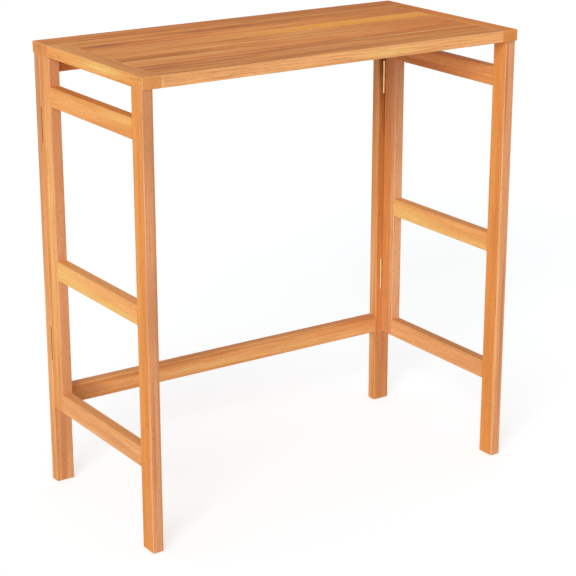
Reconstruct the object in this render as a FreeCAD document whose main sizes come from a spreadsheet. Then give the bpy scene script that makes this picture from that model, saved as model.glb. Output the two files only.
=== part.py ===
# Folding pub table in oiled hardwood with brass butt hinges.
# A back frame stands on two legs. A gate, which is a ladder of two uprights and three rails, is hinged
# to each of those legs and swings inwards to lie flat against the frame. The top is a strip fixed on
# the back frame and a slatted flap, hinged to that strip, which rests on the opened gates.
# X runs along the table, Y from its front to its back and Z up. The origin is on the floor, under the
# middle of the top. Every length is in millimetres.
import FreeCAD, Part
import os
import Sketcher

doc = FreeCAD.newDocument("pub_table")
sheet = doc.addObject("Spreadsheet::Sheet", "Sizes")

SIZES = [
    ("table_length", 900, "length of the top"),
    ("table_depth", 450, "depth of the top, strip and flap together"),
    ("table_height", 965, "floor to the face of the top"),
    ("top_thickness", 24, "thickness of the strip and of the flap's frame"),
    ("stock_thick", 24, "thickness of every upright and rail"),
    ("stock_wide", 41, "width of every upright and rail"),
    ("edge_round", 2, "radius of the eased edges of the frames"),
    ("top_round", 1.2, "radius of the eased edges of the top's boards"),
    ("frame_inset", 1, "outer faces of the frames, in from the ends of the top"),
    ("front_setback", 5, "front legs, back from the front edge of the top"),
    ("rear_setback", 2, "back frame, in from the rear edge of the top"),
    ("low_rail_height", 175, "floor to the underside of the low rails"),
    ("mid_rail_height", 472, "floor to the underside of the gates' middle rails"),
    ("gate_top_gap", 60, "open gap between the gates' top rails and the top"),
    ("gate_clear", 0.3, "running clearance between the gates and the top"),
    ("tenon_thick", 8, "thickness of the rails' tenons"),
    ("tenon_long", 25, "length of the rails' tenons"),
    ("tenon_shoulder", 5, "shoulder above and below each tenon"),
    ("glue_clear", 0.1, "room on each side of a tenon or tongue"),
    ("end_clear", 0.5, "room past the end of a tenon, tongue or screw"),
    ("strip_width", 65, "width of the fixed strip"),
    ("flap_gap", 1.5, "joint between the strip and the flap"),
    ("end_board_width", 40, "width of the flap's end boards"),
    ("flap_rail_width", 48, "width of the flap's front and rear rails"),
    ("slat_count", 6, "slats between the flap's rails"),
    ("slat_thick", 15, "thickness of the slats"),
    ("slat_gap", 0.4, "gap between one slat and the next"),
    ("tongue_thick", 7, "thickness of the tongues on slats and flap rails"),
    ("tongue_long", 12, "length of those tongues"),
    ("tongue_inset", 8, "shoulder beside each tongue"),
    ("batten_width", 36, "width of the battens under the slats"),
    ("batten_spacing", 280, "distance between the two battens"),
    ("hinge_length", 75, "length of every butt hinge"),
    ("hinge_inset", 108, "gate hinges, in from the ends of the gates' stiles"),
    ("hinge_gap", 0.8, "gap between the plates of a closed hinge"),
    ("flap_hinge_spacing", 500, "distance between the flap's two hinges"),
    ("plate_thick", 1.5, "thickness of a hinge plate"),
    ("plate_margin", 4, "hinge plates, in from the outer faces of the frames"),
    ("plate_corner", 3, "corner radius of a hinge plate"),
    ("barrel_radius", 3, "outer radius of the hinge barrel"),
    ("barrel_clear", 0.3, "room round the barrel"),
    ("pin_radius", 1.5, "radius of the hinge pin"),
    ("pin_clear", 0.05, "running clearance round the pin"),
    ("knuckle_clear", 0.3, "gap between one knuckle and the next"),
    ("seat_clear", 0.2, "room round a hinge plate in its seat"),
    ("screw_pitch", 26, "distance between the screws of a hinge plate"),
    ("screw_head", 2.8, "radius of a hinge screw's head"),
    ("screw_shank", 1.4, "radius of a hinge screw's shank"),
    ("screw_length", 15, "length of a hinge screw"),
    ("screw_clear", 0.05, "room round every screw"),
    ("fixing_head", 4, "radius of the head of a strip or batten screw"),
    ("fixing_shank", 2, "radius of the shank of a strip or batten screw"),
    ("strip_screw_count", 4, "screws that hold the strip"),
    ("strip_screw_inset", 63, "outer ones of those screws, in from the back legs"),
    ("strip_screw_bury", 16, "depth of their heads in the back frame's top rail"),
    ("strip_screw_bite", 14, "length of their shanks in the strip"),
    ("batten_screw_bite", 8, "length of a batten screw's shank in its slat"),
]
for row, (alias, value, note) in enumerate(SIZES, 1):
    sheet.set(f"A{row}", note)
    sheet.set(f"B{row}", str(value))
    sheet.setAlias(f"B{row}", alias)
doc.recompute()


def size(name):
    return float(sheet.get(name))


# Levels and lines that several pieces share, as formulas of the sheet's cells
UNDERSIDE = "(Sizes.table_height - Sizes.top_thickness)"
TOP_MIDDLE_Z = f"({UNDERSIDE} + Sizes.top_thickness / 2)"
GATE_TOP = f"({UNDERSIDE} - Sizes.gate_clear)"
LOW_RAIL_Z = "(Sizes.low_rail_height + Sizes.stock_wide / 2)"
FRAME_OUTER_X = "(Sizes.table_length / 2 - Sizes.frame_inset)"
FRONT_Y = "(-Sizes.table_depth / 2)"
BACK_FACE_Y = "(Sizes.table_depth / 2 - Sizes.rear_setback - Sizes.stock_thick)"
BACK_MIDDLE_Y = f"({BACK_FACE_Y} + Sizes.stock_thick / 2)"
STRIP_MIDDLE_Y = "(Sizes.table_depth / 2 - Sizes.strip_width / 2)"
FLAP_REAR_Y = "(Sizes.table_depth / 2 - Sizes.strip_width - Sizes.flap_gap)"

# Ways to turn a board from its own frame, in which X runs along it, into the table's frame
FLAT_ALONG_X = FreeCAD.Rotation()
FLAT_ALONG_Y = FreeCAD.Rotation(FreeCAD.Vector(0, 0, 1), 90)
ON_EDGE_ALONG_X = FreeCAD.Rotation(FreeCAD.Vector(1, 0, 0), 90)
ON_EDGE_ALONG_Y = FreeCAD.Rotation(FreeCAD.Vector(1, 1, 1), 120)
UPRIGHT = FreeCAD.Rotation(FreeCAD.Vector(1, 1, 1), -120)
HALF_TURN_X = FreeCAD.Rotation(FreeCAD.Vector(1, 0, 0), 180)
HALF_TURN_Y = FreeCAD.Rotation(FreeCAD.Vector(0, 1, 0), 180)
HALF_TURN_Z = FreeCAD.Rotation(FreeCAD.Vector(0, 0, 1), 180)

SIDES = {"left": -1, "right": 1}
pieces = []


# Sketches and features that the pieces are made of

def origin_feature(body, role):
    return next(item for item in body.Origin.OriginFeatures if item.Role == role)


def new_sketch(body, name, plane, offset):
    sketch = body.newObject("Sketcher::SketchObject", name)
    sketch.AttachmentSupport = [(origin_feature(body, plane), "")]
    sketch.MapMode = "FlatFace"
    for axis, formula in zip("xyz", offset):
        sketch.setExpression(f"AttachmentOffset.Base.{axis}", formula)
    return sketch


def dimension(sketch, name, formula, *constraint):
    index = sketch.addConstraint(Sketcher.Constraint(*constraint))
    sketch.renameConstraint(index, name)
    sketch.setExpression(f"Constraints.{name}", formula)


def rectangle(body, name, plane, across, up, offset=("0", "0", "0")):
    sketch = new_sketch(body, name, plane, offset)
    corners = [FreeCAD.Vector(x, y, 0) for x, y in ((-1, -1), (1, -1), (1, 1), (-1, 1))]
    for line, corner in enumerate(corners):
        sketch.addGeometry(Part.LineSegment(corner, corners[(line + 1) % 4]))
    for line in range(4):
        sketch.addConstraint(Sketcher.Constraint("Coincident", line, 2, (line + 1) % 4, 1))
        sketch.addConstraint(Sketcher.Constraint("Vertical" if line % 2 else "Horizontal", line))
    sketch.addConstraint(Sketcher.Constraint("Symmetric", 0, 1, 1, 2, -1, 1))
    dimension(sketch, "across", across, "DistanceX", 0, 1, 0, 2, 2.0)
    dimension(sketch, "up", up, "DistanceY", 1, 1, 1, 2, 2.0)
    return sketch


def circle(body, name, plane, radius, offset=("0", "0", "0")):
    sketch = new_sketch(body, name, plane, offset)
    sketch.addGeometry(Part.Circle(FreeCAD.Vector(), FreeCAD.Vector(0, 0, 1), 1))
    sketch.addConstraint(Sketcher.Constraint("Coincident", 0, 3, -1, 1))
    dimension(sketch, "radius", radius, "Radius", 0, 1.0)
    return sketch


def extrude(body, kind, name, sketch, length, symmetric=False):
    feature = body.newObject(f"PartDesign::{kind}", name)
    feature.Profile = sketch
    feature.SideType = "Symmetric" if symmetric else "One side"
    feature.setExpression("Length", length)
    return feature


def repeat_along_x(body, name, feature, length, count):
    pattern = body.newObject("PartDesign::LinearPattern", name)
    pattern.Originals = [feature]
    pattern.Direction = (origin_feature(body, "X_Axis"), [""])
    pattern.setExpression("Length", length)
    pattern.setExpression("Occurrences", count)
    body.Tip = pattern


def round_edges(body, name, radius, chosen):
    doc.recompute()
    base = body.Tip
    edges = [f"Edge{number}" for number, edge in enumerate(base.Shape.Edges, 1) if chosen(edge)]
    fillet = body.newObject("PartDesign::Fillet", name)
    fillet.Base = (base, edges)
    fillet.setExpression("Radius", radius)


def any_edge(edge):
    return True


def runs_along_board(edge):
    return abs(edge.tangentAt(edge.FirstParameter).x) > 0.99


def cut_slot(body, name, plane, across, up, depth, centre):
    sketch = rectangle(body, f"{name}Outline", plane, across, up, centre)
    extrude(body, "Pocket", name, sketch, depth, symmetric=True)


def drill_row(body, name, plane, radius, depth, first, pitch, count):
    sketch = circle(body, f"{name}Circle", plane, radius, first)
    hole = extrude(body, "Pocket", name, sketch, depth, symmetric=True)
    repeat_along_x(body, f"{name}Row", hole, f"{pitch} * ({count} - 1)", count)


def new_body(label):
    body = doc.addObject("PartDesign::Body", label)
    body.Label = label
    pieces.append(body)
    return body


def place(piece, turn, x, y, z):
    piece.Placement = FreeCAD.Placement(FreeCAD.Vector(), turn)
    for axis, formula in zip("xyz", (x, y, z)):
        piece.setExpression(f"Placement.Base.{axis}", formula)


# Boards: lengths of planed stock with eased edges. Each is drawn from one end along its own X, with
# its section centred on that line

def board(label, length, wide, thick, rounding, eased=any_edge):
    body = new_body(label)
    section = rectangle(body, "Section", "YZ_Plane", wide, thick)
    extrude(body, "Pad", "Stock", section, length)
    round_edges(body, "EasedEdges", rounding, eased)
    return body


def add_tenons(body, length, long, wide, thick, raised="0"):
    section = rectangle(body, "TenonSection", "YZ_Plane", wide, thick, ("0", raised, f"-{long}"))
    extrude(body, "Pad", "Tenons", section, f"{length} + 2 * {long}")


# Frame joints: every rail has a tenon at each end, glued into a blind mortise in an upright

TENON_WIDE = "(Sizes.stock_wide - 2 * Sizes.tenon_shoulder)"
MORTISE_WIDE = f"({TENON_WIDE} + 2 * Sizes.glue_clear)"
MORTISE_THICK = "(Sizes.tenon_thick + 2 * Sizes.glue_clear)"
MORTISE_DEEP = "(Sizes.tenon_long + Sizes.end_clear)"
MORTISE_MIDDLE = f"(Sizes.stock_wide - {MORTISE_DEEP}) / 2"


def frame_rail(label, length):
    rail = board(label, length, "Sizes.stock_wide", "Sizes.stock_thick", "Sizes.edge_round", runs_along_board)
    add_tenons(rail, length, "Sizes.tenon_long", TENON_WIDE, "Sizes.tenon_thick")
    return rail


def mortise_in_y_side(upright, side, height):
    centre = (height, "0", f"{-side} * {MORTISE_MIDDLE}")
    cut_slot(upright, "Mortise", "XZ_Plane", MORTISE_WIDE, MORTISE_THICK, MORTISE_DEEP, centre)


def mortise_in_z_side(upright, side, height):
    centre = (height, "0", f"{side} * {MORTISE_MIDDLE}")
    cut_slot(upright, "Mortise", "XY_Plane", MORTISE_WIDE, MORTISE_THICK, MORTISE_DEEP, centre)


# Butt hinges: two brass plates with interleaved knuckles on one pin. A plate is drawn about the middle
# of the barrel's axis, which is its X, with its wood on the +Z side and its screw heads on the other

KNUCKLE_PITCH = "(Sizes.hinge_length / 5)"
PLATE_START = "(Sizes.barrel_radius + Sizes.barrel_clear)"
PLATE_WIDE = "(Sizes.stock_thick - Sizes.plate_margin)"
PLATE_MIDDLE = f"({PLATE_START} + {PLATE_WIDE} / 2)"


def knuckle_section(body, offset):
    sketch = new_sketch(body, "KnuckleSection", "YZ_Plane", ("0", "0", offset))
    radius = size("barrel_radius")
    low = size("hinge_gap") / 2
    high = low + size("plate_thick")
    reach = 2 * radius
    low_near = FreeCAD.Vector((radius ** 2 - low ** 2) ** 0.5, low, 0)
    low_far = FreeCAD.Vector(reach, low, 0)
    high_far = FreeCAD.Vector(reach, high, 0)
    high_near = FreeCAD.Vector((radius ** 2 - high ** 2) ** 0.5, high, 0)
    sketch.addGeometry(Part.Arc(high_near, FreeCAD.Vector(-radius, 0, 0), low_near))
    sketch.addGeometry(Part.LineSegment(low_near, low_far))
    sketch.addGeometry(Part.LineSegment(low_far, high_far))
    sketch.addGeometry(Part.LineSegment(high_far, high_near))
    for edge in range(4):
        sketch.addConstraint(Sketcher.Constraint("Coincident", edge, 2, (edge + 1) % 4, 1))
    sketch.addConstraint(Sketcher.Constraint("Coincident", 0, 3, -1, 1))
    sketch.addConstraint(Sketcher.Constraint("Horizontal", 1))
    sketch.addConstraint(Sketcher.Constraint("Vertical", 2))
    sketch.addConstraint(Sketcher.Constraint("Horizontal", 3))
    dimension(sketch, "barrel", "Sizes.barrel_radius", "Radius", 0, radius)
    dimension(sketch, "gap", "Sizes.hinge_gap / 2", "DistanceY", -1, 1, 1, 2, low)
    dimension(sketch, "plate", "Sizes.plate_thick", "DistanceY", 2, 1, 2, 2, high - low)
    dimension(sketch, "reach", PLATE_MIDDLE, "DistanceX", -1, 1, 2, 1, reach)
    return sketch


def is_far_corner_of_plate(edge):
    far_side = size("barrel_radius") + size("barrel_clear") + size("stock_thick") - size("plate_margin")
    upright = abs(edge.tangentAt(edge.FirstParameter).z) > 0.99
    return upright and abs(edge.CenterOfMass.y - far_side) < 1e-3


def countersink_screw_holes(plate):
    first = ("-Sizes.screw_pitch", PLATE_MIDDLE, "Sizes.hinge_gap / 2")
    mark = circle(plate, "ScrewCircle", "XY_Plane", "Sizes.screw_shank", first)
    doc.recompute()
    hole = plate.newObject("PartDesign::Hole", "ScrewHole")
    hole.Profile = mark
    hole.Reversed = True
    hole.DepthType = "ThroughAll"
    hole.ThreadType = "None"
    hole.HoleCutType = "Countersink"
    hole.HoleCutCustomValues = True
    hole.HoleCutCountersinkAngle = 90
    hole.setExpression("Diameter", "2 * (Sizes.screw_shank + Sizes.screw_clear)")
    hole.setExpression("HoleCutDiameter", "2 * (Sizes.screw_head + Sizes.screw_clear)")
    repeat_along_x(plate, "ScrewHoles", hole, "2 * Sizes.screw_pitch", "3")


def hinge_plate(label, knuckle_count):
    plate = new_body(label)
    section = knuckle_section(plate, f"-({knuckle_count} - 1) * {KNUCKLE_PITCH}")
    knuckle_long = f"{KNUCKLE_PITCH} - Sizes.knuckle_clear"
    knuckle = extrude(plate, "Pad", "Knuckle", section, knuckle_long, symmetric=True)
    span = f"2 * ({knuckle_count} - 1) * {KNUCKLE_PITCH}"
    repeat_along_x(plate, "Knuckles", knuckle, span, str(knuckle_count))
    middle = ("0", PLATE_MIDDLE, "(Sizes.hinge_gap + Sizes.plate_thick) / 2")
    outline = rectangle(plate, "PlateOutline", "XY_Plane", "Sizes.hinge_length", PLATE_WIDE, middle)
    extrude(plate, "Pad", "Plate", outline, "Sizes.plate_thick", symmetric=True)
    bore = circle(plate, "BoreCircle", "YZ_Plane", "Sizes.pin_radius + Sizes.pin_clear")
    extrude(plate, "Pocket", "Bore", bore, "2 * Sizes.hinge_length", symmetric=True)
    round_edges(plate, "Corners", "Sizes.plate_corner", is_far_corner_of_plate)
    countersink_screw_holes(plate)
    return plate


def hinge_pin(label):
    pin = doc.addObject("Part::Cylinder", label)
    pin.Label = label
    pin.setExpression("Radius", "Sizes.pin_radius")
    pin.setExpression("Height", "Sizes.hinge_length")
    pieces.append(pin)
    return pin


def seat_hinge(wood, face, half, along, axis, outward, let_in, rise, barrel_in_wood):
    # The plate lies on the +Z or -Z face of a board, `half` from the board's middle. The barrel's axis
    # is at `axis` on the board's Y, `rise` outside that face, and the plate goes `outward` from it.
    # A seat that lets the plate in runs out through the board's outer face, where it shows as a slot
    long = "(Sizes.hinge_length + 2 * Sizes.seat_clear)"
    if let_in:
        wide = f"({PLATE_START} + Sizes.stock_thick + Sizes.edge_round)"
        middle = (along, f"{axis} + {outward} * {wide} / 2", f"{face} * ({half} - Sizes.plate_thick / 2)")
        cut_slot(wood, "PlateSeat", "XY_Plane", long, wide, "Sizes.plate_thick", middle)
    if barrel_in_wood:
        middle = (axis, f"{face} * ({half} + {rise})", along)
        groove = circle(wood, "BarrelCircle", "YZ_Plane", PLATE_START, middle)
        extrude(wood, "Pocket", "BarrelGroove", groove, long, symmetric=True)
    deep = "(Sizes.screw_length + Sizes.end_clear)"
    across = f"{axis} + {outward} * {PLATE_MIDDLE}"
    first = (f"{along} - Sizes.screw_pitch", across, f"{face} * ({half} - {deep} / 2)")
    radius = "Sizes.screw_shank + Sizes.screw_clear"
    drill_row(wood, "PilotHole", "XY_Plane", radius, deep, first, "Sizes.screw_pitch", "3")


# Countersunk wood screws: one of each kind is drawn with its head's face at the origin and its shank
# along +Z, and a copy is set at each place where one is driven

def wood_screw(name, head, shank, length):
    head_high = f"({head} - {shank})"
    tip_high = f"(2 * {shank})"
    rod_high = f"({length} - {head_high} - {tip_high})"
    cone = doc.addObject("Part::Cone", f"{name}Head")
    rod = doc.addObject("Part::Cylinder", f"{name}Shank")
    tip = doc.addObject("Part::Cone", f"{name}Tip")
    tip_start = f"{head_high} + {rod_high}"
    formulas = [
        (cone, {"Radius1": head, "Radius2": shank, "Height": head_high}),
        (rod, {"Radius": shank, "Height": rod_high, "Placement.Base.z": head_high}),
        (tip, {"Radius1": shank, "Radius2": "0", "Height": tip_high, "Placement.Base.z": tip_start}),
    ]
    for feature, bindings in formulas:
        for property_name, formula in bindings.items():
            feature.setExpression(property_name, formula)
    screw = doc.addObject("Part::MultiFuse", name)
    screw.Shapes = [cone, rod, tip]
    return screw


def screw_group(label, screw, placements):
    driven = []
    for placement in placements:
        copy = screw.Shape.copy()
        copy.Placement = placement
        driven.append(copy)
    group = doc.addObject("Part::Feature", label)
    group.Label = label
    group.Shape = Part.makeCompound(driven)
    pieces.append(group)


def screws_pointing_up(label, screw, heads):
    screw_group(label, screw, [FreeCAD.Placement(head, FreeCAD.Rotation()) for head in heads])


def screws_in_plates(label, plates):
    doc.recompute()
    across = size("barrel_radius") + size("barrel_clear") + (size("stock_thick") - size("plate_margin")) / 2
    placements = []
    for plate in plates:
        for step in (-1, 0, 1):
            head = FreeCAD.Vector(step * size("screw_pitch"), across, size("hinge_gap") / 2)
            placements.append(plate.Placement.multiply(FreeCAD.Placement(head, FreeCAD.Rotation())))
    screw_group(label, hinge_screw, placements)


hinge_screw = wood_screw("HingeScrew", "Sizes.screw_head", "Sizes.screw_shank", "Sizes.screw_length")


# Back frame: two legs joined by a rail right under the top and a low rail, flush on both faces

BACK_LEG_X = f"({FRAME_OUTER_X} - Sizes.stock_wide / 2)"
BACK_RAIL_LONG = f"(2 * ({FRAME_OUTER_X} - Sizes.stock_wide))"
BACK_TOP_RAIL_Z = f"({UNDERSIDE} - Sizes.stock_wide / 2)"
GATE_AXIS_X = f"({FRAME_OUTER_X} - Sizes.stock_thick - {PLATE_START})"
GATE_AXIS_Y = f"({BACK_FACE_Y} - Sizes.hinge_gap / 2)"
GATE_HINGE_Z = {
    "lower": "(Sizes.low_rail_height + Sizes.hinge_inset + Sizes.hinge_length / 2)",
    "upper": f"({GATE_TOP} - Sizes.hinge_inset - Sizes.hinge_length / 2)",
}

for side, sign in SIDES.items():
    leg = board(f"{side}_back_leg", UNDERSIDE, "Sizes.stock_wide", "Sizes.stock_thick", "Sizes.edge_round")
    for rail_height in (BACK_TOP_RAIL_Z, LOW_RAIL_Z):
        mortise_in_y_side(leg, -sign, rail_height)
    axis = f"{sign} * ({GATE_AXIS_X} - {BACK_LEG_X})"
    for hinge_height in GATE_HINGE_Z.values():
        seat_hinge(leg, -1, "Sizes.stock_thick / 2", hinge_height, axis, sign,
                   let_in=True, rise="Sizes.hinge_gap / 2", barrel_in_wood=True)
    place(leg, UPRIGHT, f"{sign} * {BACK_LEG_X}", BACK_MIDDLE_Y, "0")

back_top_rail = frame_rail("back_top_rail", BACK_RAIL_LONG)
place(back_top_rail, ON_EDGE_ALONG_X, f"-{BACK_RAIL_LONG} / 2", BACK_MIDDLE_Y, BACK_TOP_RAIL_Z)
back_low_rail = frame_rail("back_low_rail", BACK_RAIL_LONG)
place(back_low_rail, ON_EDGE_ALONG_X, f"-{BACK_RAIL_LONG} / 2", BACK_MIDDLE_Y, LOW_RAIL_Z)


# Gates: a leg to the floor, a stile that ends with the low rail, and three rails between them

GATE_X = f"({FRAME_OUTER_X} - Sizes.stock_thick / 2)"
GATE_LEG_Y = f"({FRONT_Y} + Sizes.front_setback + Sizes.stock_wide / 2)"
GATE_STILE_Y = f"({BACK_FACE_Y} - Sizes.hinge_gap - Sizes.stock_wide / 2)"
GATE_RAIL_LONG = f"({GATE_STILE_Y} - {GATE_LEG_Y} - Sizes.stock_wide)"
GATE_RAIL_Z = {
    "top": f"({UNDERSIDE} - Sizes.gate_top_gap - Sizes.stock_wide / 2)",
    "mid": "(Sizes.mid_rail_height + Sizes.stock_wide / 2)",
    "low": LOW_RAIL_Z,
}

for side, sign in SIDES.items():
    gate_x = f"{sign} * {GATE_X}"
    leg = board(f"{side}_gate_leg", GATE_TOP, "Sizes.stock_thick", "Sizes.stock_wide", "Sizes.edge_round")
    stile_long = f"({GATE_TOP} - Sizes.low_rail_height)"
    stile = board(f"{side}_gate_stile", stile_long, "Sizes.stock_thick", "Sizes.stock_wide",
                  "Sizes.edge_round")
    for level, rail_height in GATE_RAIL_Z.items():
        mortise_in_z_side(leg, 1, rail_height)
        mortise_in_z_side(stile, -1, f"{rail_height} - Sizes.low_rail_height")
        rail = frame_rail(f"{side}_gate_{level}_rail", GATE_RAIL_LONG)
        place(rail, ON_EDGE_ALONG_Y, gate_x, f"{GATE_LEG_Y} + Sizes.stock_wide / 2", rail_height)
    axis = f"{sign} * ({GATE_AXIS_X} - {GATE_X})"
    for hinge_height in GATE_HINGE_Z.values():
        seat_hinge(stile, 1, "Sizes.stock_wide / 2", f"{hinge_height} - Sizes.low_rail_height", axis, sign,
                   let_in=True, rise="Sizes.hinge_gap / 2", barrel_in_wood=False)
    place(leg, UPRIGHT, gate_x, GATE_LEG_Y, "0")
    place(stile, UPRIGHT, gate_x, GATE_STILE_Y, "Sizes.low_rail_height")


# Gate hinges: two to each gate, let into the back leg and the stile so that they close flush

FRAME_PLATE_TURN = {"left": HALF_TURN_Y.multiply(UPRIGHT), "right": UPRIGHT}
GATE_PLATE_TURN = {"left": HALF_TURN_Z.multiply(UPRIGHT), "right": HALF_TURN_X.multiply(UPRIGHT)}

frame_plates = []
for side, sign in SIDES.items():
    gate_plates = []
    axis_x = f"{sign} * {GATE_AXIS_X}"
    for level, hinge_height in GATE_HINGE_Z.items():
        frame_plate = hinge_plate(f"{side}_{level}_hinge_frame_plate", 3)
        place(frame_plate, FRAME_PLATE_TURN[side], axis_x, GATE_AXIS_Y, hinge_height)
        frame_plates.append(frame_plate)
        gate_plate = hinge_plate(f"{side}_{level}_hinge_gate_plate", 2)
        place(gate_plate, GATE_PLATE_TURN[side], axis_x, GATE_AXIS_Y, hinge_height)
        gate_plates.append(gate_plate)
        pin = hinge_pin(f"{side}_{level}_hinge_pin")
        place(pin, FreeCAD.Rotation(), axis_x, GATE_AXIS_Y, f"{hinge_height} - Sizes.hinge_length / 2")
    screws_in_plates(f"{side}_gate_hinge_screws", gate_plates)
screws_in_plates("frame_hinge_screws", frame_plates)


# Fixed strip of the top, held by long screws that go up through the back frame's top rail

FLAP_AXIS_Y = f"({FLAP_REAR_Y} + Sizes.flap_gap / 2)"
FLAP_AXIS_RISE = "(Sizes.plate_thick + Sizes.hinge_gap / 2)"
FIRST_STRIP_SCREW_X = f"(Sizes.strip_screw_inset - {BACK_RAIL_LONG} / 2)"
STRIP_SCREW_PITCH = f"(-2 * {FIRST_STRIP_SCREW_X} / (Sizes.strip_screw_count - 1))"
STRIP_SCREW_ROW = (STRIP_SCREW_PITCH, "Sizes.strip_screw_count")
STRIP_SCREW_LONG = "(Sizes.stock_wide - Sizes.strip_screw_bury + Sizes.strip_screw_bite)"
STRIP_SCREW_SUNK = "(Sizes.strip_screw_bury + Sizes.fixing_head - Sizes.fixing_shank)"
STRIP_HOLE_DEEP = "(Sizes.strip_screw_bite + Sizes.end_clear)"
FIXING_HOLE = "Sizes.fixing_shank + Sizes.screw_clear"
FIXING_MOUTH = "Sizes.fixing_head + Sizes.screw_clear"

strip = board("rear_strip", "Sizes.table_length", "Sizes.strip_width", "Sizes.top_thickness",
              "Sizes.top_round")
for sign in SIDES.values():
    along = f"(Sizes.table_length + {sign} * Sizes.flap_hinge_spacing) / 2"
    seat_hinge(strip, -1, "Sizes.top_thickness / 2", along, f"({FLAP_AXIS_Y} - {STRIP_MIDDLE_Y})", 1,
               let_in=False, rise=FLAP_AXIS_RISE, barrel_in_wood=True)
first_in_strip = (f"{FIRST_STRIP_SCREW_X} + Sizes.table_length / 2", f"{BACK_MIDDLE_Y} - {STRIP_MIDDLE_Y}",
                  f"({STRIP_HOLE_DEEP} - Sizes.top_thickness) / 2")
drill_row(strip, "ScrewHole", "XY_Plane", FIXING_HOLE, STRIP_HOLE_DEEP, first_in_strip, *STRIP_SCREW_ROW)
place(strip, FLAT_ALONG_X, "-Sizes.table_length / 2", STRIP_MIDDLE_Y, TOP_MIDDLE_Z)

first_in_rail = f"{FIRST_STRIP_SCREW_X} + {BACK_RAIL_LONG} / 2"
drill_row(back_top_rail, "ScrewHole", "XZ_Plane", FIXING_HOLE, "Sizes.stock_wide",
          (first_in_rail, "0", "0"), *STRIP_SCREW_ROW)
drill_row(back_top_rail, "ScrewMouth", "XZ_Plane", FIXING_MOUTH, STRIP_SCREW_SUNK,
          (first_in_rail, "0", f"(Sizes.stock_wide - {STRIP_SCREW_SUNK}) / 2"), *STRIP_SCREW_ROW)

strip_screw = wood_screw("StripScrew", "Sizes.fixing_head", "Sizes.fixing_shank", STRIP_SCREW_LONG)
doc.recompute()
rail_at = back_top_rail.Placement.Base
head_z = rail_at.z - size("stock_wide") / 2 + size("strip_screw_bury")
first_x = rail_at.x + size("strip_screw_inset")
strip_screw_total = int(size("strip_screw_count"))
strip_screw_heads = []
for number in range(strip_screw_total):
    head_x = first_x * (1 - 2 * number / (strip_screw_total - 1))
    strip_screw_heads.append(FreeCAD.Vector(head_x, rail_at.y, head_z))
screws_pointing_up("strip_screws", strip_screw, strip_screw_heads)


# Flap of the top: end boards with a stopped groove, and between them two rails and thinner slats, all
# tongued into the grooves and flush on top. Two battens under the slats come flush with the underside

FLAP_DEEP = f"({FLAP_REAR_Y} - {FRONT_Y})"
FLAP_INNER_X = "(Sizes.table_length / 2 - Sizes.end_board_width)"
FLAP_RAIL_LONG = f"(2 * {FLAP_INNER_X})"
BATTEN_THICK = "(Sizes.top_thickness - Sizes.slat_thick)"
TONGUE_RAISED = f"({BATTEN_THICK} / 2)"
BATTEN_LONG = f"({FLAP_DEEP} - 2 * Sizes.flap_rail_width)"
SLAT_WIDE = f"(({BATTEN_LONG} - (Sizes.slat_count + 1) * Sizes.slat_gap) / Sizes.slat_count)"
SLAT_PITCH = f"({SLAT_WIDE} + Sizes.slat_gap)"
GROOVE_DEEP = "(Sizes.tongue_long + Sizes.end_clear)"
BATTEN_HOLE_DEEP = "(Sizes.batten_screw_bite + Sizes.end_clear)"
BATTEN_MOUTH_DEEP = "(Sizes.fixing_head - Sizes.fixing_shank)"

for side, sign in SIDES.items():
    end_board = board(f"{side}_end_board", FLAP_DEEP, "Sizes.end_board_width", "Sizes.top_thickness",
                      "Sizes.top_round")
    groove_long = f"{FLAP_DEEP} - 2 * (Sizes.tongue_inset - Sizes.glue_clear)"
    groove_inset = f"{-sign} * (Sizes.end_board_width - {GROOVE_DEEP}) / 2"
    groove_middle = (f"{FLAP_DEEP} / 2", TONGUE_RAISED, groove_inset)
    cut_slot(end_board, "Groove", "XZ_Plane", groove_long, "Sizes.tongue_thick + 2 * Sizes.glue_clear",
             GROOVE_DEEP, groove_middle)
    end_x = f"{sign} * (Sizes.table_length - Sizes.end_board_width) / 2"
    place(end_board, FLAT_ALONG_Y, end_x, FRONT_Y, TOP_MIDDLE_Z)


def flap_board(label, wide, thick, tongue_raised):
    body = board(label, FLAP_RAIL_LONG, wide, thick, "Sizes.top_round", runs_along_board)
    add_tenons(body, FLAP_RAIL_LONG, "Sizes.tongue_long", f"({wide} - 2 * Sizes.tongue_inset)",
               "Sizes.tongue_thick", tongue_raised)
    return body


front_rail = flap_board("flap_front_rail", "Sizes.flap_rail_width", "Sizes.top_thickness", TONGUE_RAISED)
place(front_rail, FLAT_ALONG_X, f"-{FLAP_INNER_X}", f"{FRONT_Y} + Sizes.flap_rail_width / 2", TOP_MIDDLE_Z)

REAR_RAIL_Y = f"({FLAP_REAR_Y} - Sizes.flap_rail_width / 2)"
rear_rail = flap_board("flap_rear_rail", "Sizes.flap_rail_width", "Sizes.top_thickness", TONGUE_RAISED)
for sign in SIDES.values():
    along = f"({FLAP_INNER_X} + {sign} * Sizes.flap_hinge_spacing / 2)"
    seat_hinge(rear_rail, -1, "Sizes.top_thickness / 2", along, f"({FLAP_AXIS_Y} - {REAR_RAIL_Y})", -1,
               let_in=False, rise=FLAP_AXIS_RISE, barrel_in_wood=True)
place(rear_rail, FLAT_ALONG_X, f"-{FLAP_INNER_X}", REAR_RAIL_Y, TOP_MIDDLE_Z)

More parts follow.
